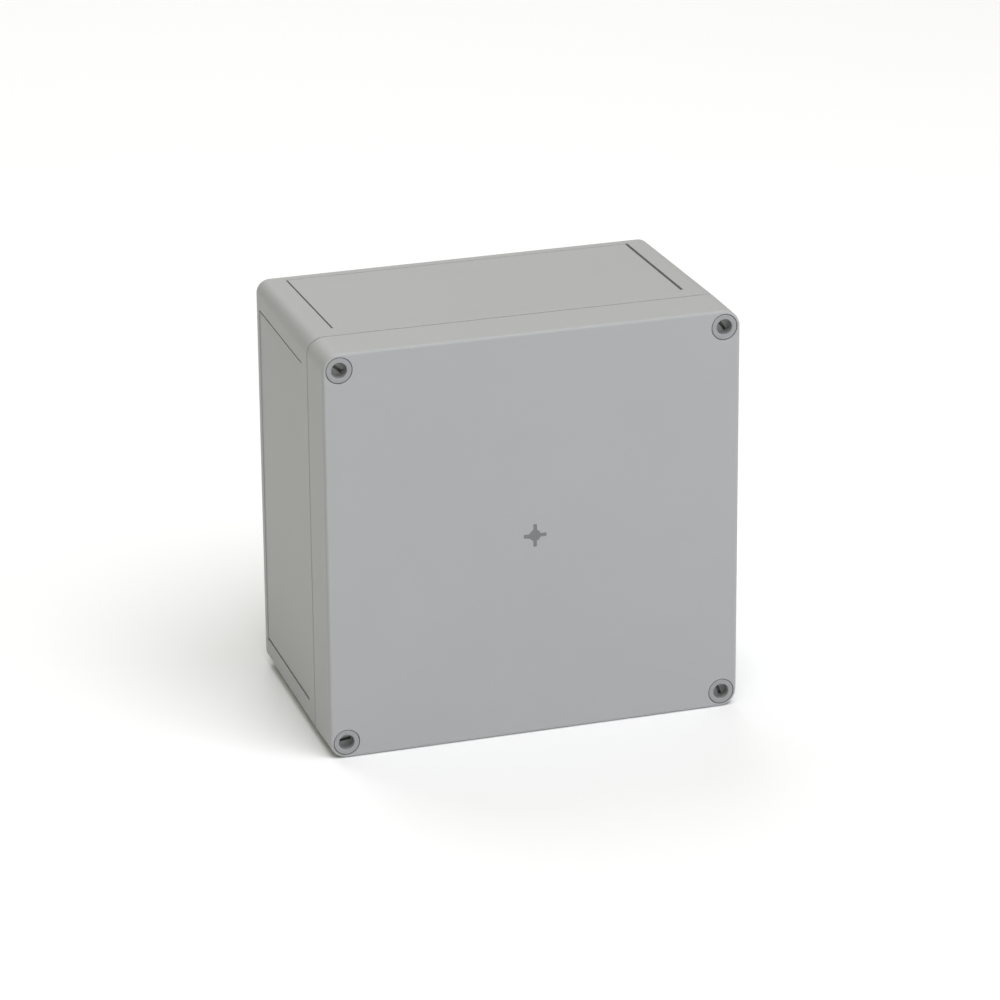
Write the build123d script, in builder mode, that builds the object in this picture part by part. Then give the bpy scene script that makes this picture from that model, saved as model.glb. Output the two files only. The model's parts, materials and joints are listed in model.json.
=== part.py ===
from build123d import *

import os
from math import cos, radians, sin

# Wall-mounting electrical junction box, fitted with a rail and five screw terminals.
#
# Frame: millimetres. The origin is the centre of the back face, on the wall. +X is to the right,
# +Z is up, and the lid faces -Y. "Depth" in this file is the distance in front of the wall, -Y.

os.makedirs("parts", exist_ok=True)

# --- Case ---------------------------------------------------------------------------------------
WIDTH = 182.0
HEIGHT = 180.0
DEPTH = 111.0
LID_DEPTH = 24.0
SPLIT = DEPTH - LID_DEPTH  # depth of the plane where the lid meets the base
PARTING_GAP = 0.8  # shadow gap between the lid's skirt and the base's rim
CORNER_RADIUS = 7.5
DRAFT = 1.1  # degrees, on the base's side walls
WALL = 3.6
FLOOR = 3.5
LID_SKIN = 3.0
LID_EDGE_RADIUS = 1.3
BACK_EDGE_RADIUS = 2.5
RIM_EDGE_RADIUS = 0.3

# The corner blocks stand outside the seal and hold the cover screws and the wall-fixing holes.
BLOCK_WIDTH = 15.0
BLOCK_HEIGHT = 32.0
OUTLINE_RADIUS = 3.2

# --- Seal: a tongue on the base presses into foam in a channel of the lid ------------------------
TONGUE_HEIGHT = 3.0
TONGUE_OUTER = 1.5  # offsets from the base's inner outline, outwards positive
TONGUE_INNER = 0.1
CHANNEL_OUTER = 2.2
CHANNEL_INNER = -0.6
CHANNEL_DEPTH = 6.0
LID_RIB = 2.0
FOAM_GAP = 0.03

# --- Side panels: flat areas that are drilled for cable entries ----------------------------------
PANEL_INSET = 14.0  # from the case's corner to the panel's end
PANEL_FRONT = 9.0  # from the base's rim
PANEL_BACK = 6.0  # from the back face
PANEL_RECESS = 0.3
PANEL_GROOVE_WIDTH = 1.0
PANEL_GROOVE_DEPTH = 1.6

# --- Cover screws --------------------------------------------------------------------------------
SCREW_INSET = 7.1
HEAD_RADIUS = 5.5
HEAD_HOLE_RADIUS = 5.75
HEAD_SEAT = DEPTH - 10.0  # depth of the shoulder in the lid that the head sits on
HEAD_PLAY = 0.05  # under the head
SHOULDER = 2.5
SHANK_HOLE_RADIUS = 3.3
SHANK_RADIUS = 2.9
THREAD_RADIUS = 2.5  # the thread's core; the threads themselves are left off
THREAD_BORE_RADIUS = 3.2
SCREW_TIP = SPLIT - 8.0
DRIVE_RADIUS = 3.35
DRIVE_DEPTH = 3.9
SLOT_WIDTH = 1.3
SLOT_LENGTH = 6.0
SLOT_DEPTH = 2.0
RING_BACK = SPLIT + 1.4
RING_THICKNESS = 1.5
RING_PLAY = 0.1
RING_RADIUS = 4.2
RING_BORE_RADIUS = 2.4
NECK_RADIUS = 2.3
RING_WELL_RADIUS = 4.6
SLOT_ANGLES = {"top_left": -42.0, "top_right": -55.0, "bottom_left": 8.0, "bottom_right": -68.0}

# --- Wall fixing ---------------------------------------------------------------------------------
FIXING_INSET_X = 8.0
FIXING_INSET_Z = 23.5
FIXING_RADIUS = 2.4
FIXING_HEAD_RADIUS = 4.2
FIXING_SEAT = 6.0

# --- Rail: top-hat section, 35 mm by 7.5 mm ------------------------------------------------------
BOSS_HEIGHT = 8.0
BOSS_RADIUS = 5.5
BOSS_ROW_PITCH = 55.0  # the middle row holds the rail, and the outer rows are spare
BOSS_TOP = FLOOR + BOSS_HEIGHT
RAIL_WIDTH = 35.0
RAIL_CHANNEL = 27.0
RAIL_HEIGHT = 7.5
RAIL_GAUGE = 1.0
RAIL_LENGTH = 150.0
RAIL_FRONT = BOSS_TOP + RAIL_HEIGHT
RAIL_SLOT_PITCH = 25.0
RAIL_SLOT_COUNT = 6
RAIL_SLOT_LENGTH = 15.0
RAIL_SLOT_WIDTH = 6.2
RAIL_SCREW_X = RAIL_SLOT_PITCH * (RAIL_SLOT_COUNT - 1) / 2
RAIL_SCREW_RADIUS = 1.95
RAIL_PILOT_RADIUS = 2.05
RAIL_HEAD_RADIUS = 4.6
RAIL_HEAD_HEIGHT = 2.6
RAIL_DRIVE_WIDTH = 1.2
RAIL_DRIVE_DEPTH = 1.3

# --- Terminals -----------------------------------------------------------------------------------
TERMINAL_NAMES = ["line_1", "line_2", "line_3", "neutral", "earth"]
TERMINAL_WIDTH = 8.0
TERMINAL_PITCH = 8.1
TERMINAL_WALL = 1.1
TERMINAL_FRONT = 56.0
TERMINAL_SHOULDER = 41.5
TERMINAL_HALF = 23.2
TERMINAL_TOP_HALF = 18.8
RAIL_CLEARANCE = 0.1  # between the rail and what is clipped on it
HOOK_HALF = 20.6
HOOK_LIP = 14.8
HOOK_SHOULDER = 23.5
CLAMP_Z = 13.0
POCKET_HALF = 4.3
POCKET_BACK = 28.6
POCKET_FRONT = 53.9
CAVITY_WIDTH = TERMINAL_WIDTH - TERMINAL_WALL
BAR_BACK = 38.0
BAR_THICKNESS = 1.2
BAR_WIDTH = 3.6
BAR_HALF_LENGTH = 17.0
BAR_PLAY = 0.1
CAGE_WIDTH = 5.4
CAGE_HALF = 3.8
CAGE_BACK = 29.2
CAGE_FLOOR = 1.4
CAGE_WINDOW = 10.6
CAGE_ROOF = 2.8
CAGE_SIDE = 0.75
CLAMP_SHANK_RADIUS = 1.6
CLAMP_HOLE_RADIUS = 1.66
CLAMP_HEAD_RADIUS = 2.5
CLAMP_HEAD_BACK = 51.0
CLAMP_HEAD_HEIGHT = 2.6
CLAMP_SLOT_WIDTH = 0.8
CLAMP_SLOT_DEPTH = 1.2
CLAMP_TIP_GAP = 0.2
ACCESS_RADIUS = 2.2
WIRE_RADIUS = 2.2
WIRE_DEPTH = 34.3
WIRE_FUNNEL = 0.6
EARTH_FOOT_HALF = 5.0
MARKER_HALF = 3.0
MARKER_GROOVE = 2.0
MARKER_WIDTH = 6.4
MARKER_THICKNESS = 1.5
END_PLATE_WIDTH = 1.6
END_STOP_WIDTH = 8.0
END_STOP_FRONT = 42.0
END_STOP_SHOULDER = 31.0
END_STOP_TOP_HALF = 9.0
END_STOP_GAP = 0.1
END_SCREW_HEAD_RADIUS = 3.2
END_SCREW_HEAD_DEPTH = 3.0
END_SCREW_RADIUS = 1.9

TERMINAL_COUNT = len(TERMINAL_NAMES)
GROUP_WIDTH = TERMINAL_COUNT * TERMINAL_PITCH + END_PLATE_WIDTH
GROUP_LEFT = -GROUP_WIDTH / 2
TERMINAL_REST = RAIL_FRONT + RAIL_CLEARANCE
CAVITY_MIDDLE = TERMINAL_WALL + CAVITY_WIDTH / 2  # from a terminal's left face
POCKET_MIDDLE = (POCKET_BACK + POCKET_FRONT) / 2
CORNERS = {
    "top_left": (-1, 1),
    "top_right": (1, 1),
    "bottom_left": (-1, -1),
    "bottom_right": (1, -1),
}


def depth_plane(depth):
    """A plane parallel to the wall, facing the front. Its local axes are X and Z."""
    return Plane.XZ.offset(depth)


def slice_plane(x):
    """A plane across the rail, facing +X. Its local axes are Z and depth."""
    return Plane(origin=(x, 0, 0), x_dir=(0, 0, 1), z_dir=(1, 0, 0))


def all_corners(inset_x, inset_z):
    """The four (X, Z) points that lie this far in from the case's corners."""
    return [(sx * (WIDTH / 2 - inset_x), sz * (HEIGHT / 2 - inset_z)) for sx, sz in CORNERS.values()]


def save(part, name):
    part.label = name
    export_step(part, f"parts/{name}.step")


def inner_outline(margin):
    """The base's inner outline, which steps in round the corner blocks, grown by a margin."""
    with BuildSketch() as outline:
        Rectangle(WIDTH - 2 * WALL, HEIGHT - 2 * WALL)
        with Locations(*all_corners(BLOCK_WIDTH / 2, BLOCK_HEIGHT / 2)):
            Rectangle(BLOCK_WIDTH, BLOCK_HEIGHT, mode=Mode.SUBTRACT)
        fillet(outline.vertices(), OUTLINE_RADIUS)
        if margin:
            offset(amount=margin)
    return outline.sketch


def side_plane(angle, half):
    """A side wall's sloping plane, from the rim. Local X runs along the rim, local Y to the back."""
    turn, draft = radians(angle), radians(DRAFT)
    return Plane(
        origin=(half * sin(turn), -SPLIT, half * cos(turn)),
        x_dir=(cos(turn), 0, -sin(turn)),
        z_dir=(sin(turn) * cos(draft), sin(draft), cos(turn) * cos(draft)),
    )


# --- Base ----------------------------------------------------------------------------------------
PANEL_LENGTH = SPLIT - PANEL_FRONT - PANEL_BACK
PANEL_MIDDLE = PANEL_FRONT + PANEL_LENGTH / 2

with BuildPart() as base_shell:
    with BuildSketch(depth_plane(SPLIT)):
        RectangleRounded(WIDTH, HEIGHT, CORNER_RADIUS)
    extrude(amount=-SPLIT, taper=DRAFT)
    fillet(base_shell.edges().group_by(Axis.Y)[-1], BACK_EDGE_RADIUS)
    fillet(base_shell.edges().group_by(Axis.Y)[0], RIM_EDGE_RADIUS)
    with BuildSketch(depth_plane(SPLIT)):
        add(inner_outline(0))
    extrude(amount=-(SPLIT - FLOOR), taper=DRAFT, mode=Mode.SUBTRACT)
    with BuildSketch(depth_plane(SPLIT)):
        add(inner_outline(TONGUE_OUTER))
        add(inner_outline(TONGUE_INNER), mode=Mode.SUBTRACT)
    extrude(amount=TONGUE_HEIGHT)
    for angle in (0, 90, 180, 270):
        half, span = (HEIGHT / 2, WIDTH) if angle in (0, 180) else (WIDTH / 2, HEIGHT)
        panel_half = span / 2 - PANEL_INSET
        with BuildSketch(side_plane(angle, half)):
            with Locations((0, PANEL_MIDDLE)):
                Rectangle(2 * panel_half, PANEL_LENGTH)
        extrude(amount=-PANEL_RECESS, mode=Mode.SUBTRACT)
        with BuildSketch(side_plane(angle, half)):
            with Locations((-panel_half, PANEL_MIDDLE), (panel_half, PANEL_MIDDLE)):
                SlotOverall(PANEL_LENGTH, PANEL_GROOVE_WIDTH, rotation=90)
        extrude(amount=-PANEL_GROOVE_DEPTH, mode=Mode.SUBTRACT)
    with BuildSketch(depth_plane(SPLIT)):
        with Locations(*all_corners(SCREW_INSET, SCREW_INSET)):
            Circle(THREAD_BORE_RADIUS)
    extrude(amount=-(SPLIT - SCREW_TIP + 6.0), mode=Mode.SUBTRACT)
    with BuildSketch(depth_plane(SPLIT)):
        with Locations(*all_corners(FIXING_INSET_X, FIXING_INSET_Z)):
            Circle(FIXING_HEAD_RADIUS)
    extrude(amount=-(SPLIT - FIXING_SEAT), mode=Mode.SUBTRACT)
    with BuildSketch(depth_plane(FIXING_SEAT)):
        with Locations(*all_corners(FIXING_INSET_X, FIXING_INSET_Z)):
            Circle(FIXING_RADIUS)
    extrude(amount=-FIXING_SEAT, mode=Mode.SUBTRACT)
    with BuildSketch(depth_plane(FLOOR)):
        with GridLocations(2 * RAIL_SCREW_X, BOSS_ROW_PITCH, 2, 3):
            Circle(BOSS_RADIUS)
    extrude(amount=BOSS_HEIGHT)
    with BuildSketch(depth_plane(BOSS_TOP)):
        with GridLocations(2 * RAIL_SCREW_X, BOSS_ROW_PITCH, 2, 3):
            Circle(RAIL_PILOT_RADIUS)
    extrude(amount=-BOSS_HEIGHT, mode=Mode.SUBTRACT)
save(base_shell.part, "base_shell")

# --- Lid -----------------------------------------------------------------------------------------
LID_BACK = SPLIT + PARTING_GAP

with BuildPart() as lid_shell:
    with BuildSketch(depth_plane(LID_BACK)):
        RectangleRounded(WIDTH, HEIGHT, CORNER_RADIUS)
    extrude(amount=DEPTH - LID_BACK)
    fillet(lid_shell.edges().group_by(Axis.Y)[0], LID_EDGE_RADIUS)
    fillet(lid_shell.edges().group_by(Axis.Y)[-1], RIM_EDGE_RADIUS)
    with BuildSketch(depth_plane(LID_BACK)):
        add(inner_outline(-LID_RIB))
    extrude(amount=DEPTH - LID_SKIN - LID_BACK, mode=Mode.SUBTRACT)
    with BuildSketch(depth_plane(LID_BACK)):
        add(inner_outline(CHANNEL_OUTER))
        add(inner_outline(CHANNEL_INNER), mode=Mode.SUBTRACT)
    extrude(amount=CHANNEL_DEPTH - PARTING_GAP, mode=Mode.SUBTRACT)
    with BuildSketch(depth_plane(DEPTH)):
        with Locations(*all_corners(SCREW_INSET, SCREW_INSET)):
            Circle(HEAD_HOLE_RADIUS)
    extrude(amount=-(DEPTH - HEAD_SEAT), mode=Mode.SUBTRACT)
    with BuildSketch(depth_plane(HEAD_SEAT)):
        with Locations(*all_corners(SCREW_INSET, SCREW_INSET)):
            Circle(SHANK_HOLE_RADIUS)
    extrude(amount=-SHOULDER, mode=Mode.SUBTRACT)
    with BuildSketch(depth_plane(HEAD_SEAT - SHOULDER)):
        with Locations(*all_corners(SCREW_INSET, SCREW_INSET)):
            Circle(RING_WELL_RADIUS)
    extrude(amount=-(HEAD_SEAT - SHOULDER - LID_BACK), mode=Mode.SUBTRACT)
save(lid_shell.part, "lid_shell")

# --- Foam seal -----------------------------------------------------------------------------------
with BuildPart() as lid_seal:
    with BuildSketch(depth_plane(SPLIT + TONGUE_HEIGHT + FOAM_GAP)):
        add(inner_outline(CHANNEL_OUTER))
        add(inner_outline(CHANNEL_INNER), mode=Mode.SUBTRACT)
    extrude(amount=CHANNEL_DEPTH - TONGUE_HEIGHT - FOAM_GAP)
save(lid_seal.part, "lid_seal")


# --- Cover screws and the rings that keep them in the lid ----------------------------------------
def cover_screw(x, z, slot_angle):
    """A hollow-headed plastic screw, flush with the lid, with a blade slot deep in its head."""
    with BuildPart() as screw:
        for start, end, radius in (
            (SCREW_TIP, RING_BACK - RING_PLAY, THREAD_RADIUS),
            (RING_BACK - RING_PLAY, RING_BACK + RING_THICKNESS + RING_PLAY, NECK_RADIUS),
            (RING_BACK + RING_THICKNESS + RING_PLAY, HEAD_SEAT + HEAD_PLAY, SHANK_RADIUS),
            (HEAD_SEAT + HEAD_PLAY, DEPTH, HEAD_RADIUS),
        ):
            with BuildSketch(depth_plane(start)):
                with Locations((x, z)):
                    Circle(radius)
            extrude(amount=end - start)
        chamfer(screw.edges().group_by(Axis.Y)[-1], 0.8)
        with BuildSketch(depth_plane(DEPTH)):
            with Locations((x, z)):
                Circle(DRIVE_RADIUS)
        extrude(amount=-DRIVE_DEPTH, mode=Mode.SUBTRACT)
        fillet(screw.edges().group_by(Axis.Y)[0], 0.35)
        with BuildSketch(depth_plane(DEPTH - DRIVE_DEPTH)):
            with Locations((x, z)):
                Rectangle(SLOT_LENGTH, SLOT_WIDTH, rotation=slot_angle)
        extrude(amount=-SLOT_DEPTH, mode=Mode.SUBTRACT)
    return screw.part


def retaining_ring(x, z):
    with BuildPart() as ring:
        with BuildSketch(depth_plane(RING_BACK)):
            with Locations((x, z)):
                Circle(RING_RADIUS)
                Circle(RING_BORE_RADIUS, mode=Mode.SUBTRACT)
        extrude(amount=RING_THICKNESS)
    return ring.part


for corner, (side_x, side_z) in CORNERS.items():
    screw_x = side_x * (WIDTH / 2 - SCREW_INSET)
    screw_z = side_z * (HEIGHT / 2 - SCREW_INSET)
    save(cover_screw(screw_x, screw_z, SLOT_ANGLES[corner]), f"cover_screw_{corner}")
    save(retaining_ring(screw_x, screw_z), f"screw_ring_{corner}")

# --- Rail and its screws -------------------------------------------------------------------------
with BuildPart() as mounting_rail:
    with BuildSketch(slice_plane(-RAIL_LENGTH / 2)):
        with Locations((0, BOSS_TOP + RAIL_HEIGHT / 2)):
            Rectangle(RAIL_CHANNEL, RAIL_HEIGHT)
        with Locations((0, RAIL_FRONT - RAIL_GAUGE / 2)):
            Rectangle(RAIL_WIDTH, RAIL_GAUGE)
        with Locations((0, BOSS_TOP + RAIL_GAUGE + RAIL_HEIGHT / 2)):
            Rectangle(RAIL_CHANNEL - 2 * RAIL_GAUGE, RAIL_HEIGHT, mode=Mode.SUBTRACT)
    extrude(amount=RAIL_LENGTH)
    with BuildSketch(depth_plane(BOSS_TOP + RAIL_GAUGE)):
        with GridLocations(RAIL_SLOT_PITCH, 0, RAIL_SLOT_COUNT, 1):
            SlotOverall(RAIL_SLOT_LENGTH, RAIL_SLOT_WIDTH)
    extrude(amount=-RAIL_GAUGE, mode=Mode.SUBTRACT)
save(mounting_rail.part, "mounting_rail")

with BuildPart() as rail_screws:
    for screw_x in (-RAIL_SCREW_X, RAIL_SCREW_X):
        with BuildSketch(depth_plane(BOSS_TOP + RAIL_GAUGE)):
            with Locations((screw_x, 0)):
                Circle(RAIL_HEAD_RADIUS)
        extrude(amount=RAIL_HEAD_HEIGHT)
        with BuildSketch(depth_plane(BOSS_TOP + RAIL_GAUGE)):
            with Locations((screw_x, 0)):
                Circle(RAIL_SCREW_RADIUS)
        extrude(amount=-BOSS_HEIGHT)
    fillet(rail_screws.edges().filter_by(GeomType.CIRCLE).group_by(Axis.Y)[0], 0.9)
    with BuildSketch(depth_plane(BOSS_TOP + RAIL_GAUGE + RAIL_HEAD_HEIGHT)):
        with Locations((-RAIL_SCREW_X, 0), (RAIL_SCREW_X, 0)):
            Rectangle(2 * RAIL_HEAD_RADIUS + 1.0, RAIL_DRIVE_WIDTH, rotation=25)
    extrude(amount=-RAIL_DRIVE_DEPTH, mode=Mode.SUBTRACT)
save(rail_screws.part, "rail_screws")


# --- Terminals -----------------------------------------------------------------------------------
def clip_outline(front, shoulder, half_length, half_front):
    """The outline, in Z and depth, of a piece that clips on to the rail's flanges."""
    flange = RAIL_WIDTH / 2 + RAIL_CLEARANCE
    lip_front = RAIL_FRONT - RAIL_GAUGE - RAIL_CLEARANCE
    half = [
        (flange, TERMINAL_REST),
        (flange, lip_front),
        (HOOK_LIP, lip_front),
        (HOOK_LIP, lip_front - 1.3),
        (HOOK_HALF - 1.0, lip_front - 2.3),
        (HOOK_HALF, lip_front - 1.3),
        (HOOK_HALF, HOOK_SHOULDER),
        (half_length, HOOK_SHOULDER + 3.5),
        (half_length, shoulder),
        (half_front, shoulder + 5.5),
        (half_front, front),
    ]
    return half + [(-z, depth) for z, depth in reversed(half)]


def terminal_outline():
    return clip_outline(TERMINAL_FRONT, TERMINAL_SHOULDER, TERMINAL_HALF, TERMINAL_TOP_HALF)


def terminal_housing(left, has_foot):
    """An insulating housing. Its cavities are open to the right, where the next piece closes them."""
    middle = left + CAVITY_MIDDLE
    with BuildPart() as housing:
        with BuildSketch(slice_plane(left)):
            Polygon(*terminal_outline(), align=None)
        extrude(amount=TERMINAL_WIDTH)
        fillet(housing.edges().filter_by(Axis.X).group_by(Axis.Y)[0], 0.8)
        with BuildSketch(slice_plane(left + TERMINAL_WALL)):
            with Locations((-CLAMP_Z, POCKET_MIDDLE), (CLAMP_Z, POCKET_MIDDLE)):
                Rectangle(2 * POCKET_HALF, POCKET_FRONT - POCKET_BACK)
        extrude(amount=CAVITY_WIDTH, mode=Mode.SUBTRACT)
        with BuildSketch(slice_plane(middle - BAR_WIDTH / 2 - BAR_PLAY)):
            with Locations((0, BAR_BACK + BAR_THICKNESS / 2)):
                Rectangle(2 * CLAMP_Z, BAR_THICKNESS + 2 * BAR_PLAY)
            if has_foot:
                with Locations((0, (TERMINAL_REST + BAR_BACK) / 2)):
                    Rectangle(2 * EARTH_FOOT_HALF + 0.4, BAR_BACK - TERMINAL_REST + 1.0)
        extrude(amount=TERMINAL_WIDTH, mode=Mode.SUBTRACT)
        with BuildSketch(depth_plane(TERMINAL_FRONT)):
            with Locations((middle, -CLAMP_Z), (middle, CLAMP_Z)):
                Circle(ACCESS_RADIUS)
        extrude(amount=-(TERMINAL_FRONT - POCKET_FRONT), mode=Mode.SUBTRACT)
        with BuildSketch(depth_plane(TERMINAL_FRONT)):
            with Locations((left + TERMINAL_WIDTH / 2, 0)):
                Rectangle(TERMINAL_WIDTH, 2 * MARKER_HALF)
        extrude(amount=-MARKER_GROOVE, mode=Mode.SUBTRACT)
        for side in (-1, 1):
            with BuildSketch(Plane.XY.offset(side * TERMINAL_HALF)):
                with Locations((middle, -WIRE_DEPTH)):
                    Circle(WIRE_RADIUS)
            extrude(amount=-side * (TERMINAL_HALF - CLAMP_Z), mode=Mode.SUBTRACT)
            mouth = housing.edges().filter_by(GeomType.CIRCLE).group_by(Axis.Z)[-1 if side > 0 else 0]
            chamfer(mouth, WIRE_FUNNEL)
    return housing.part


def current_bar(middle):
    with BuildPart() as bar:
        with BuildSketch(depth_plane(BAR_BACK)):
            with Locations((middle, 0)):
                RectangleRounded(BAR_WIDTH, 2 * BAR_HALF_LENGTH, 0.5)
        extrude(amount=BAR_THICKNESS)
    return bar.part


def clamp_screw(middle, z):
    """A slotted screw that turns on the current bar and can't rise, as its head is in the housing."""
    with BuildPart() as screw:
        with BuildSketch(depth_plane(BAR_BACK + BAR_THICKNESS + CLAMP_TIP_GAP)):
            with Locations((middle, z)):
                Circle(CLAMP_SHANK_RADIUS)
        extrude(amount=CLAMP_HEAD_BACK - BAR_BACK - BAR_THICKNESS - CLAMP_TIP_GAP)
        with BuildSketch(depth_plane(CLAMP_HEAD_BACK)):
            with Locations((middle, z)):
                Circle(CLAMP_HEAD_RADIUS)
        extrude(amount=CLAMP_HEAD_HEIGHT)
        with BuildSketch(depth_plane(CLAMP_HEAD_BACK + CLAMP_HEAD_HEIGHT)):
            with Locations((middle, z)):
                Rectangle(2 * CLAMP_HEAD_RADIUS + 1.0, CLAMP_SLOT_WIDTH, rotation=35)
        extrude(amount=-CLAMP_SLOT_DEPTH, mode=Mode.SUBTRACT)
    return screw.part


def clamp_cage(middle, z):
    """A rectangular sleeve round the end of the bar, with a thick roof that the screw is threaded in."""
    height = CAGE_FLOOR + CAGE_WINDOW + CAGE_ROOF
    with BuildPart() as cage:
        with BuildSketch(Plane.XY.offset(z - CAGE_HALF)):
            with Locations((middle, -(CAGE_BACK + height / 2))):
                RectangleRounded(CAGE_WIDTH, height, 0.5)
            with Locations((middle, -(CAGE_BACK + CAGE_FLOOR + CAGE_WINDOW / 2))):
                Rectangle(CAGE_WIDTH - 2 * CAGE_SIDE, CAGE_WINDOW, mode=Mode.SUBTRACT)
        extrude(amount=2 * CAGE_HALF)
        with BuildSketch(depth_plane(CAGE_BACK + height)):
            with Locations((middle, z)):
                Circle(CLAMP_HOLE_RADIUS)
        extrude(amount=-CAGE_ROOF, mode=Mode.SUBTRACT)
    return cage.part


for index, name in enumerate(TERMINAL_NAMES):
    terminal_left = GROUP_LEFT + index * TERMINAL_PITCH
    terminal_middle = terminal_left + CAVITY_MIDDLE
    save(terminal_housing(terminal_left, name == "earth"), f"housing_{name}")
    save(current_bar(terminal_middle), f"current_bar_{name}")
    for end, end_z in (("upper", CLAMP_Z), ("lower", -CLAMP_Z)):
        save(clamp_screw(terminal_middle, end_z), f"clamp_screw_{name}_{end}")
        save(clamp_cage(terminal_middle, end_z), f"clamp_cage_{name}_{end}")

# The earth terminal's foot joins its bar to the rail.
EARTH_LEFT = GROUP_LEFT + TERMINAL_NAMES.index("earth") * TERMINAL_PITCH

with BuildPart() as earth_foot:
    with BuildSketch(slice_plane(EARTH_LEFT + CAVITY_MIDDLE - BAR_WIDTH / 2)):
        with Locations((0, (RAIL_FRONT - RAIL_GAUGE + BAR_BACK) / 2)):
            Rectangle(2 * EARTH_FOOT_HALF, BAR_BACK - RAIL_FRONT + RAIL_GAUGE - 0.1)
    extrude(amount=BAR_WIDTH)
save(earth_foot.part, "earth_foot")

with BuildPart() as marker_tags:
    for index in range(TERMINAL_COUNT):
        tag_middle = GROUP_LEFT + index * TERMINAL_PITCH + TERMINAL_WIDTH / 2
        with BuildSketch(depth_plane(TERMINAL_FRONT - MARKER_GROOVE)):
            with Locations((tag_middle, 0)):
                RectangleRounded(MARKER_WIDTH, 2 * MARKER_HALF - 0.3, 0.4)
        extrude(amount=MARKER_THICKNESS)
save(marker_tags.part, "marker_tags")

# --- End plate and end stops ---------------------------------------------------------------------
PLATE_LEFT = GROUP_LEFT + TERMINAL_COUNT * TERMINAL_PITCH

with BuildPart() as end_plate:
    with BuildSketch(slice_plane(PLATE_LEFT)):
        Polygon(*terminal_outline(), align=None)
    extrude(amount=END_PLATE_WIDTH)
    fillet(end_plate.edges().filter_by(Axis.X).group_by(Axis.Y)[0], 0.8)
save(end_plate.part, "end_plate")

STOP_LEFTS = {
    "left": GROUP_LEFT - END_STOP_GAP - END_STOP_WIDTH,
    "right": GROUP_LEFT + GROUP_WIDTH + END_STOP_GAP,
}

for side, stop_left in STOP_LEFTS.items():
    with BuildPart() as end_stop:
        with BuildSketch(slice_plane(stop_left)):
            outline = clip_outline(END_STOP_FRONT, END_STOP_SHOULDER, HOOK_HALF, END_STOP_TOP_HALF)
            Polygon(*outline, align=None)
        extrude(amount=END_STOP_WIDTH)
        fillet(end_stop.edges().filter_by(Axis.X).group_by(Axis.Y)[0], 1.0)
        with Locations(depth_plane(END_STOP_FRONT).location):
            with Locations((stop_left + END_STOP_WIDTH / 2, 0)):
                CounterBoreHole(END_SCREW_RADIUS + 0.1, END_SCREW_HEAD_RADIUS + 0.15, END_SCREW_HEAD_DEPTH)
    save(end_stop.part, f"end_stop_{side}")

with BuildPart() as end_stop_screws:
    for stop_left in STOP_LEFTS.values():
        screw_x = stop_left + END_STOP_WIDTH / 2
        for start, stop, radius in (
            (RAIL_FRONT - RAIL_GAUGE, END_STOP_FRONT - END_SCREW_HEAD_DEPTH + 0.05, END_SCREW_RADIUS),
            (END_STOP_FRONT - END_SCREW_HEAD_DEPTH + 0.05, END_STOP_FRONT - 0.5, END_SCREW_HEAD_RADIUS),
        ):
            with BuildSketch(depth_plane(start)):
                with Locations((screw_x, 0)):
                    Circle(radius)
            extrude(amount=stop - start)
        with BuildSketch(depth_plane(END_STOP_FRONT - 0.5)):
            with Locations((screw_x, 0)):
                Rectangle(2 * END_SCREW_HEAD_RADIUS + 1.0, CLAMP_SLOT_WIDTH, rotation=-50)
        extrude(amount=-CLAMP_SLOT_DEPTH, mode=Mode.SUBTRACT)
save(end_stop_screws.part, "end_stop_screws")
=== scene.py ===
import json
from math import atan2, cos, pi, radians, sin

import bmesh
import bpy
from mathutils import Matrix, Quaternion, Vector, noise


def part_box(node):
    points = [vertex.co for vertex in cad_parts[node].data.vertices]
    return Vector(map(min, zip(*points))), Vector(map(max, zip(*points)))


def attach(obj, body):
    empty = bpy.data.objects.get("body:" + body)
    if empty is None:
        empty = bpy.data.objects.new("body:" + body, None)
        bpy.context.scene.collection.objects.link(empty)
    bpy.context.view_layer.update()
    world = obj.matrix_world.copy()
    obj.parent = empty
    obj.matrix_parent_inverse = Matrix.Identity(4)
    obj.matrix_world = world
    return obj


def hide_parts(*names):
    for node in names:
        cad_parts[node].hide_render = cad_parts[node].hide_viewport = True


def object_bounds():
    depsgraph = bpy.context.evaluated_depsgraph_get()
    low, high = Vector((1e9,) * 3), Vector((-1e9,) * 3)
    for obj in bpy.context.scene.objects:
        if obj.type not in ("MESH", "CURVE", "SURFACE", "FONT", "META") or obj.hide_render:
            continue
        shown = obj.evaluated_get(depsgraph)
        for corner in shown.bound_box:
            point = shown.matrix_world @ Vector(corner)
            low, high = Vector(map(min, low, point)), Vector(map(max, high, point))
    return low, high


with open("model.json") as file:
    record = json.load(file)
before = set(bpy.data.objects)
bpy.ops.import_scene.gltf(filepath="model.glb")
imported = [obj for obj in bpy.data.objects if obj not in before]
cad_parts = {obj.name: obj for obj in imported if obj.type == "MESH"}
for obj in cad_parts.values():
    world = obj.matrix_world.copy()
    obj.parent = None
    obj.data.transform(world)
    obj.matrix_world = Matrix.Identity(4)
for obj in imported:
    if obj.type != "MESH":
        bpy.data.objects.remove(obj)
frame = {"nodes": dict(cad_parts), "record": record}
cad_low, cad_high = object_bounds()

MM = 0.001
CORNERS = ("top_left", "top_right", "bottom_left", "bottom_right")

# Camera, aimed close to the middle of the object
CAMERA_AZIMUTH = radians(-17.73)
CAMERA_ELEVATION = radians(20.99)
CAMERA_ROLL = radians(-0.47)
CAMERA_DISTANCE = 2.0227
CAMERA_LENS = 169.27  # mm, on a 36 mm sensor
CAMERA_AIM = Vector((1.74, -2.04, -3.70)) * MM  # from the middle of the object's box

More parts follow.
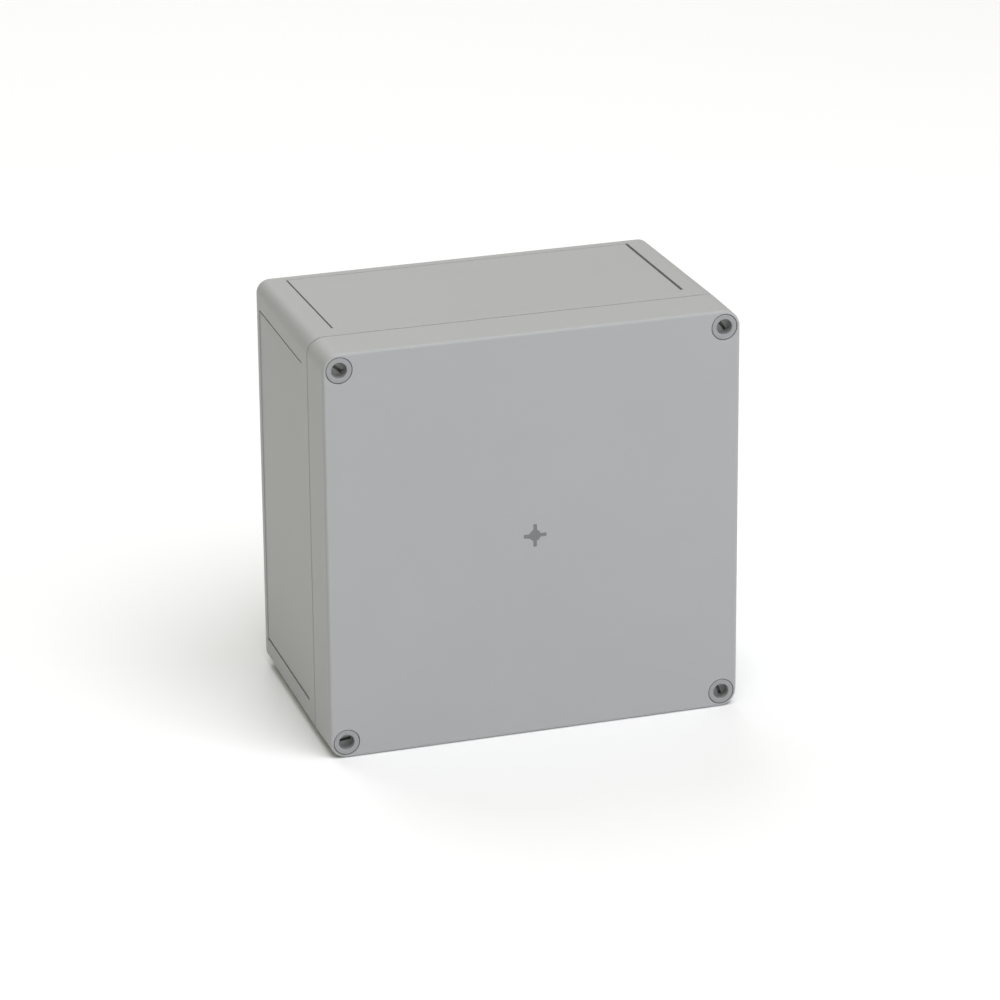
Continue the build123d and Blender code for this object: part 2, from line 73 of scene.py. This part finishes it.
# Cover screws
THREAD_CORE = 2.5 * MM
THREAD_CREST = 3.08 * MM
THREAD_LEAD = 5.0 * MM
THREAD_STARTS = 2
THREAD_LENGTH = 8.6 * MM
THREAD_START = 0.5 * MM  # from the tip
THREAD_SUNK = 0.1 * MM
THREAD_ROOT = 0.30  # half widths, as shares of the pitch
THREAD_FLAT = 0.10
THREAD_FADE = 1 / 8  # of its length, at each end
THREAD_STEPS = 150

# Foam seal: its line steps in round the corner blocks
SEAL_BLOCK_WIDTH = 15.0 * MM
SEAL_BLOCK_HEIGHT = 32.0 * MM
CASE_WALL = 3.6 * MM
SEAL_OFFSET = 0.8 * MM  # of its middle, from the case's inner wall
SEAL_CORNER = 3.2 * MM
SEAL_HALF_WIDTH = 1.33 * MM
SEAL_STEP = 2.5 * MM
SEAL_LIFT = 0.02 * MM  # off the channel's floor
SEAL_ARC_STEPS = 8
SEAL_CROWN_STEPS = 12
SEAL_CROWN_POWER = 0.6
SEAL_EDGE = 0.55  # heights, as shares of the foam's depth
SEAL_CROWN = 0.42
SEAL_WOBBLE = 0.025
SEAL_WOBBLE_SCALE = 260.0
SEAL_WOBBLE_ACROSS = 1.5

# Plain mark in the middle of the lid: the circuit sign for a junction, a dot where two lines cross
MARK_DOT = 2.5 * MM
MARK_ARM = 5.0 * MM
MARK_LINE = 0.75 * MM  # half the width of a line
MARK_RISE = 0.05 * MM
MARK_BURIED = 0.02 * MM
MARK_ARC_STEPS = 12

# Lights: place, width, power in watts, colour
LIGHTS = {
    "overhead": ((0.33, -1.45, 2.95), 3.0, 96.0, (0.97, 0.97, 1.0)),
    "right_fill": ((2.3, -2.1, 0.2), 1.6, 34.5, (0.72, 0.74, 1.0)),
    "backdrop_wash": ((-0.2, 1.8, 2.3), 2.4, 34.0, (0.95, 0.96, 1.0)),
}
WORLD_COLOUR = (1.0, 1.0, 0.80, 1.0)
WORLD_STRENGTH = 0.265
FLOOR_HALF = 12.0
FLOOR_COLOUR = (0.93, 0.93, 0.93, 1.0)

# Plastics: colour, grain in lumps to the metre, roughness
PLASTICS = {
    "case_plastic": ((0.376, 0.379, 0.376), 2200.0, 0.48),
    "cover_screw_plastic": ((0.30, 0.303, 0.305), 3200.0, 0.36),
    "ring_plastic": ((0.02, 0.02, 0.021), 3000.0, 0.40),
    "terminal_grey": ((0.25, 0.255, 0.25), 2600.0, 0.42),
    "terminal_blue": ((0.02, 0.12, 0.42), 2600.0, 0.42),
    "terminal_earth": ((0.06, 0.30, 0.06), 2600.0, 0.42),
    "marker_white": ((0.80, 0.80, 0.78), 3000.0, 0.50),
    "mark_ink": ((0.18, 0.18, 0.185), 3000.0, 0.50),
}
EARTH_YELLOW = (0.80, 0.62, 0.03)
EARTH_BAND = (6.0 * MM, 9.0 * MM)  # from the terminal's middle

# Metals: colour, stain, roughness, stretch of the drawn lines
METALS = {
    "rail_steel": ((0.70, 0.69, 0.62), (0.62, 0.60, 0.45), 0.34, (0.05, 1.0, 1.0)),
    "screw_steel": ((0.72, 0.72, 0.73), None, 0.24, (1.0, 1.0, 1.0)),
    "cage_steel": ((0.62, 0.62, 0.63), None, 0.36, (1.0, 1.0, 0.08)),
    "bar_copper": ((0.76, 0.74, 0.70), None, 0.28, (1.0, 1.0, 0.06)),
}
PLAIN_STAIN = 0.82  # how dark a metal's own stain is, where it has no colour above

FOAM_BLACK = (0.035, 0.036, 0.038)
FOAM_SHADES = (0.7, 1.5)  # its darkest and lightest, as shares of that
FOAM_CELL_SHARE = 0.6  # of the relief, beside its lumps

# Surfaces
PLASTIC_EDGE = 0.3 * MM  # how far rubbing and the painted edge highlight reach from an edge
METAL_EDGE = 0.15 * MM
EDGE_GAIN = 3.0
# Edges painted lighter in colour: partly rubbing wear, partly a painted highlight
PLASTIC_WEAR_AND_HIGHLIGHT = 0.5
METAL_WEAR_AND_HIGHLIGHT = 0.6
EDGE_WEAR_AND_HIGHLIGHT_TINT = 1.12
METAL_EDGE_WEAR_AND_HIGHLIGHT_TINT = 1.2
EDGE_POLISH = 0.08
MOTTLE = 0.06
SPECKLE = 0.35
SPECKLE_SIZE = 0.45  # lumps, as a share of the grain's
GLOSS_SPREAD = 0.16
LINE_SPREAD = 0.22
GRAIN_DEPTH = 0.012 * MM
SCRATCH_DEPTH = 0.004 * MM
FOAM_RELIEF = 0.08 * MM

# Noise, in lumps to the metre
CLOUDS = 28.0
STAINS = 90.0
METAL_LINES = 900.0
FOAM_CELLS = 1800.0
FOAM_LUMPS = 260.0


# --- Studio --------------------------------------------------------------------------------------
def make_camera():
    data = bpy.data.cameras.new("camera")
    data.lens = CAMERA_LENS
    data.sensor_width = 36.0
    data.clip_start, data.clip_end = 0.1, 50.0
    camera = bpy.data.objects.new("camera", data)
    bpy.context.scene.collection.objects.link(camera)
    back = Vector((
        sin(CAMERA_AZIMUTH) * cos(CAMERA_ELEVATION),
        -cos(CAMERA_AZIMUTH) * cos(CAMERA_ELEVATION),
        sin(CAMERA_ELEVATION),
    ))
    camera.location = (cad_low + cad_high) / 2 + CAMERA_AIM + back * CAMERA_DISTANCE
    camera.rotation_mode = "QUATERNION"
    level = (-back).to_track_quat("-Z", "Y")
    camera.rotation_quaternion = level @ Quaternion((0, 0, 1), CAMERA_ROLL)
    bpy.context.scene.camera = camera


def make_light(name, place, width, power, colour):
    """A round soft box that faces the object."""
    data = bpy.data.lights.new(name, "AREA")
    data.shape = "DISK"
    data.size = width
    data.energy = power
    data.color = colour
    light = bpy.data.objects.new(name, data)
    light.location = place
    light.rotation_mode = "QUATERNION"
    light.rotation_quaternion = (-Vector(place)).to_track_quat("-Z", "Y")
    bpy.context.scene.collection.objects.link(light)


def make_studio():
    scene = bpy.context.scene
    scene.view_settings.view_transform = "Standard"
    world = bpy.data.worlds.new("studio")
    world.use_nodes = True
    background = world.node_tree.nodes["Background"]
    background.inputs["Color"].default_value = WORLD_COLOUR
    background.inputs["Strength"].default_value = WORLD_STRENGTH
    scene.world = world
    for name, (place, width, power, colour) in LIGHTS.items():
        make_light(name, place, width, power, colour)

    mesh = bpy.data.meshes.new("floor")
    signs = ((-1, -1), (1, -1), (1, 1), (-1, 1))
    mesh.from_pydata([(x * FLOOR_HALF, y * FLOOR_HALF, cad_low.z) for x, y in signs], [], [(0, 1, 2, 3)])
    floor = bpy.data.objects.new("floor", mesh)
    scene.collection.objects.link(floor)
    paint, _, shader = new_material("floor_paint")
    shader.inputs["Base Color"].default_value = FLOOR_COLOUR
    shader.inputs["Roughness"].default_value = 0.9
    shader.inputs["Specular IOR Level"].default_value = 0.1
    mesh.materials.append(paint)


# --- Materials -----------------------------------------------------------------------------------
def new_material(name):
    material = bpy.data.materials.new(name)
    material.use_nodes = True
    tree = material.node_tree
    return material, tree, tree.nodes["Principled BSDF"]


def math_node(tree, operation, a, b=0.0, clamp=False):
    node = tree.nodes.new("ShaderNodeMath")
    node.operation = operation
    node.use_clamp = clamp
    for socket, value in zip(node.inputs, (a, b)):
        if isinstance(value, (int, float)):
            socket.default_value = value
        else:
            tree.links.new(value, socket)
    return node.outputs[0]


def mix_colour(tree, factor, a, b):
    node = tree.nodes.new("ShaderNodeMix")
    node.data_type = "RGBA"
    sockets = (node.inputs["Factor"], node.inputs[6], node.inputs[7])
    for socket, value in zip(sockets, (factor, a, b)):
        if isinstance(value, (int, float)):
            socket.default_value = value
        elif isinstance(value, tuple):
            socket.default_value = (*value, 1.0)
        else:
            tree.links.new(value, socket)
    return node.outputs[2]


def noise_node(tree, scale, detail, stretch=(1.0, 1.0, 1.0)):
    """Noise fixed to the piece, with this many lumps to the metre."""
    place = tree.nodes.new("ShaderNodeTexCoord")
    mapping = tree.nodes.new("ShaderNodeMapping")
    mapping.inputs["Scale"].default_value = stretch
    tree.links.new(place.outputs["Object"], mapping.inputs["Vector"])
    texture = tree.nodes.new("ShaderNodeTexNoise")
    texture.inputs["Scale"].default_value = scale
    texture.inputs["Detail"].default_value = detail
    tree.links.new(mapping.outputs["Vector"], texture.inputs["Vector"])
    return texture.outputs["Fac"]


def scale_and_add(tree, value, scale, add):
    return math_node(tree, "ADD", math_node(tree, "MULTIPLY", value, scale), add)


def edge_mask(tree, radius):
    """0 on flat areas, rising to 1 on edges sharper than the radius."""
    bevel = tree.nodes.new("ShaderNodeBevel")
    bevel.samples = 6
    bevel.inputs["Radius"].default_value = radius
    geometry = tree.nodes.new("ShaderNodeNewGeometry")
    dot = tree.nodes.new("ShaderNodeVectorMath")
    dot.operation = "DOT_PRODUCT"
    tree.links.new(bevel.outputs["Normal"], dot.inputs[0])
    tree.links.new(geometry.outputs["Normal"], dot.inputs[1])
    away = math_node(tree, "SUBTRACT", 1.0, dot.outputs["Value"])
    return math_node(tree, "MULTIPLY", away, EDGE_GAIN, clamp=True), bevel.outputs["Normal"]


def bump(tree, shader, height, distance, base_normal=None):
    node = tree.nodes.new("ShaderNodeBump")
    node.inputs["Distance"].default_value = distance
    node.inputs["Strength"].default_value = 1.0
    tree.links.new(height, node.inputs["Height"])
    if base_normal is not None:
        tree.links.new(base_normal, node.inputs["Normal"])
    tree.links.new(node.outputs["Normal"], shader.inputs["Normal"])


def tinted(colour, factor):
    return tuple(min(1.0, c * factor) for c in colour)


def moulded_plastic(name):
    """Moulded plastic: fine tool grain, cloudy flow marks, and edges rubbed lighter and smoother, their
    lighter colour partly a painted highlight.
    """
    colour, grain, roughness = PLASTICS[name]
    material, tree, shader = new_material(name)
    mask, soft_normal = edge_mask(tree, PLASTIC_EDGE)
    clouds = noise_node(tree, CLOUDS, detail=4.0)
    speckle = noise_node(tree, grain * SPECKLE_SIZE, detail=2.0)
    grain_noise = noise_node(tree, grain, detail=3.0)
    darker, lighter = tinted(colour, 1.0 - MOTTLE / 2), tinted(colour, 1.0 + MOTTLE / 2)
    mottled = mix_colour(tree, clouds, darker, lighter)
    speckles = math_node(tree, "MULTIPLY", speckle, SPECKLE)
    speckled = mix_colour(tree, speckles, mottled, tinted(colour, 1.0 - MOTTLE))
    # edges painted lighter: rubbing wear and a painted highlight
    wear_and_highlight = math_node(tree, "MULTIPLY", mask, PLASTIC_WEAR_AND_HIGHLIGHT)
    worn_and_highlighted = mix_colour(tree, wear_and_highlight, speckled, tinted(colour, EDGE_WEAR_AND_HIGHLIGHT_TINT))
    tree.links.new(worn_and_highlighted, shader.inputs["Base Color"])
    varied = scale_and_add(tree, grain_noise, GLOSS_SPREAD, roughness - GLOSS_SPREAD / 2)
    smoother = math_node(tree, "SUBTRACT", varied, math_node(tree, "MULTIPLY", mask, EDGE_POLISH))
    tree.links.new(smoother, shader.inputs["Roughness"])
    shader.inputs["IOR"].default_value = 1.5
    shader.inputs["Specular IOR Level"].default_value = 0.45
    bump(tree, shader, grain_noise, GRAIN_DEPTH, soft_normal)
    return material


def plated_metal(name):
    """Plated metal: drawn or turned lines, cloudy passivation and brighter rubbed edges, their brighter
    colour partly a painted highlight.
    """
    colour, stain, roughness, stretch = METALS[name]
    material, tree, shader = new_material(name)
    mask, soft_normal = edge_mask(tree, METAL_EDGE)
    clouds = noise_node(tree, STAINS, detail=5.0)
    lines = noise_node(tree, METAL_LINES, detail=4.0, stretch=stretch)
    stained = mix_colour(tree, clouds, colour, stain or tinted(colour, PLAIN_STAIN))
    # edges painted brighter: rubbing wear and a painted highlight
    wear_and_highlight = math_node(tree, "MULTIPLY", mask, METAL_WEAR_AND_HIGHLIGHT)
    worn_and_highlighted = mix_colour(tree, wear_and_highlight, stained, tinted(colour, METAL_EDGE_WEAR_AND_HIGHLIGHT_TINT))
    tree.links.new(worn_and_highlighted, shader.inputs["Base Color"])
    shader.inputs["Metallic"].default_value = 1.0
    varied = scale_and_add(tree, lines, LINE_SPREAD, roughness - LINE_SPREAD / 2)
    tree.links.new(varied, shader.inputs["Roughness"])
    bump(tree, shader, lines, SCRATCH_DEPTH, soft_normal)
    return material


def foam(name):
    """Foamed-in-place seal: a dull skin over fine closed cells."""
    material, tree, shader = new_material(name)
    cells = tree.nodes.new("ShaderNodeTexVoronoi")
    cells.inputs["Scale"].default_value = FOAM_CELLS
    place = tree.nodes.new("ShaderNodeTexCoord")
    tree.links.new(place.outputs["Object"], cells.inputs["Vector"])
    lumps = noise_node(tree, FOAM_LUMPS, detail=4.0)
    height = scale_and_add(tree, cells.outputs["Distance"], FOAM_CELL_SHARE, lumps)
    darkest, lightest = (tinted(FOAM_BLACK, share) for share in FOAM_SHADES)
    shade = mix_colour(tree, lumps, darkest, lightest)
    tree.links.new(shade, shader.inputs["Base Color"])
    shader.inputs["Roughness"].default_value = 0.82
    shader.inputs["Specular IOR Level"].default_value = 0.3
    bump(tree, shader, height, FOAM_RELIEF)
    return material


def earth_plastic(name):
    """Green plastic with a yellow band across each end, as an earth terminal has."""
    material = moulded_plastic(name)
    tree = material.node_tree
    shader = tree.nodes["Principled BSDF"]
    plain = shader.inputs["Base Color"].links[0].from_socket
    place = tree.nodes.new("ShaderNodeTexCoord")
    split = tree.nodes.new("ShaderNodeSeparateXYZ")
    tree.links.new(place.outputs["Object"], split.inputs["Vector"])
    height = math_node(tree, "ABSOLUTE", split.outputs["Z"])
    past_start = math_node(tree, "GREATER_THAN", height, EARTH_BAND[0])
    before_end = math_node(tree, "LESS_THAN", height, EARTH_BAND[1])
    band = math_node(tree, "MULTIPLY", past_start, before_end)
    tree.links.new(mix_colour(tree, band, plain, EARTH_YELLOW), shader.inputs["Base Color"])
    return material


def make_materials():
    materials = {"seal_foam": foam("seal_foam")}
    for name in PLASTICS:
        banded = name == "terminal_earth"
        materials[name] = earth_plastic(name) if banded else moulded_plastic(name)
    for name in METALS:
        materials[name] = plated_metal(name)
    return materials


def dress_cad_nodes(materials):
    """Gives each CAD node its slot's material."""
    for row in frame["record"]["subparts"]:
        mesh = frame["nodes"][row["node"]].data
        mesh.materials.clear()
        mesh.materials.append(materials[row["material_slot"]])


# --- Pieces --------------------------------------------------------------------------------------
def add_piece(name, mesh, material, body, smooth=True):
    piece = bpy.data.objects.new(name, mesh)
    bpy.context.scene.collection.objects.link(piece)
    mesh.materials.append(material)
    for polygon in mesh.polygons:
        polygon.use_smooth = smooth
    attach(piece, body)
    return piece


def finish_mesh(name, build):
    mesh = bpy.data.meshes.new(name)
    build.normal_update()
    bmesh.ops.recalc_face_normals(build, faces=build.faces)
    build.to_mesh(mesh)
    build.free()
    return mesh


def screw_thread(corner, material):
    """The raised threads on a cover screw's shank, which fade out at both ends."""
    node = f"cover_screw_{corner}"
    low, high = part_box(node)
    axis_x, axis_z = (low.x + high.x) / 2, (low.z + high.z) / 2
    tip = high.y
    build = bmesh.new()
    turns = (THREAD_LENGTH - 2 * THREAD_START) / THREAD_LEAD
    pitch = THREAD_LEAD / THREAD_STARTS
    root, flat = THREAD_ROOT * pitch, THREAD_FLAT * pitch
    sunk = THREAD_CORE - THREAD_SUNK
    for start in range(THREAD_STARTS):
        rings = []
        for step in range(THREAD_STEPS + 1):
            share = step / THREAD_STEPS
            angle = 2 * pi * (share * turns + start / THREAD_STARTS)
            along = tip - THREAD_START - root - share * turns * THREAD_LEAD
            fade = min(1.0, share / THREAD_FADE, (1 - share) / THREAD_FADE)
            crest = THREAD_CORE + (THREAD_CREST - THREAD_CORE) * fade
            ring = []
            for radius, shift in ((sunk, -root), (crest, -flat), (crest, flat), (sunk, root)):
                across, up = radius * cos(angle), -radius * sin(angle)
                ring.append(build.verts.new((axis_x + across, along + shift, axis_z + up)))
            rings.append(ring)
        for before, after in zip(rings, rings[1:]):
            for side in range(4):
                other = (side + 1) % 4
                build.faces.new((before[side], before[other], after[other], after[side]))
        build.faces.new(rings[0])
        build.faces.new(reversed(rings[-1]))
    mesh = finish_mesh(f"screw_thread_{corner}", build)
    add_piece(f"screw_thread_{corner}", mesh, material, node)


def seal_line():
    """The seal's middle line, as (point, outward direction) in x and z, round four stepped corners."""
    half_x, half_z = cad_high.x - CASE_WALL + SEAL_OFFSET, cad_high.z - CASE_WALL + SEAL_OFFSET
    step_x = cad_high.x - SEAL_BLOCK_WIDTH + SEAL_OFFSET
    step_z = cad_high.z - SEAL_BLOCK_HEIGHT + SEAL_OFFSET
    quadrant = [(half_x, step_z, 1), (step_x, step_z, -1), (step_x, half_z, 1)]
    corners = []
    for side_x, side_z in ((1, 1), (-1, 1), (-1, -1), (1, -1)):
        points = [(Vector((side_x * x, side_z * z)), bend) for x, z, bend in quadrant]
        corners += points if side_x * side_z > 0 else points[::-1]
    line = []
    count = len(corners)
    for index, (here, bend) in enumerate(corners):
        before = corners[index - 1][0]
        after, next_bend = corners[(index + 1) % count]
        into, out = (here - before).normalized(), (after - here).normalized()
        radius, next_radius = SEAL_CORNER + bend * SEAL_OFFSET, SEAL_CORNER + next_bend * SEAL_OFFSET
        centre = here + (out - into) * radius
        for step in range(SEAL_ARC_STEPS + 1):
            angle = step / SEAL_ARC_STEPS * pi / 2
            spoke = into * sin(angle) - out * cos(angle)
            line.append((centre + spoke * radius, spoke * bend))
        run = (after - here).length - radius - next_radius
        pieces = max(2, int(run / SEAL_STEP))
        for step in range(1, pieces):
            line.append((here + out * (radius + run * step / pieces), Vector((out.y, -out.x))))
    return line


def foam_seal(material):
    """A bead of foam with a crowned skin, pressed a little by the base's tongue."""
    low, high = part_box("lid_seal")
    build = bmesh.new()
    depth = high.y - low.y
    profile = []
    for step in range(SEAL_CROWN_STEPS + 1):
        angle = pi * step / SEAL_CROWN_STEPS
        profile.append((-cos(angle), sin(angle) ** SEAL_CROWN_POWER))
    rings = []
    for point, outward in seal_line():
        ring = []
        for across, rise in profile:
            wobble = noise.noise(Vector((
                point.x * SEAL_WOBBLE_SCALE,
                point.y * SEAL_WOBBLE_SCALE,
                across * SEAL_WOBBLE_ACROSS,
            )))
            top = low.y + depth * (SEAL_EDGE + SEAL_CROWN * rise + SEAL_WOBBLE * wobble)
            offset = across * SEAL_HALF_WIDTH
            spot = point + outward * offset
            ring.append(build.verts.new((spot.x, top, spot.y)))
        for across in (1, -1):
            spot = point + outward * (across * SEAL_HALF_WIDTH)
            ring.append(build.verts.new((spot.x, low.y + SEAL_LIFT, spot.y)))
        rings.append(ring)
    for before, after in zip(rings, rings[1:] + rings[:1]):
        for side in range(len(before)):
            other = (side + 1) % len(before)
            build.faces.new((before[side], before[other], after[other], after[side]))
    piece = add_piece("foam_seal", finish_mesh("foam_seal", build), material, "lid")
    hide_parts("lid_seal")


def lid_mark(material):
    """A raised junction sign: a dot with four short arms, in one outline."""
    reach = (MARK_DOT ** 2 - MARK_LINE ** 2) ** 0.5
    outline = []
    for quarter in range(4):
        turn = Matrix.Rotation(quarter * pi / 2, 2)
        first = atan2(MARK_LINE, reach)
        corner = [Vector((MARK_ARM, -MARK_LINE)), Vector((MARK_ARM, MARK_LINE))]
        for step in range(MARK_ARC_STEPS + 1):
            angle = first + (pi / 2 - 2 * first) * step / MARK_ARC_STEPS
            corner.append(Vector((cos(angle), sin(angle))) * MARK_DOT)
        outline += [turn @ point for point in corner]
    build = bmesh.new()
    front = cad_low.y
    faces = []
    for y in (front + MARK_BURIED, front - MARK_RISE):
        faces.append(build.faces.new([build.verts.new((point.x, y, point.y)) for point in outline]))
    back, top = (list(face.verts) for face in faces)
    count = len(outline)
    for index in range(count):
        other = (index + 1) % count
        build.faces.new((back[index], back[other], top[other], top[index]))
    bmesh.ops.triangulate(build, faces=faces)
    mesh = finish_mesh("lid_mark", build)
    add_piece("lid_mark", mesh, material, "lid", smooth=False)


# --- The scene -----------------------------------------------------------------------------------
make_camera()
make_studio()
materials = make_materials()
dress_cad_nodes(materials)
for corner in CORNERS:
    screw_thread(corner, materials["cover_screw_plastic"])
foam_seal(materials["seal_foam"])
lid_mark(materials["mark_ink"])
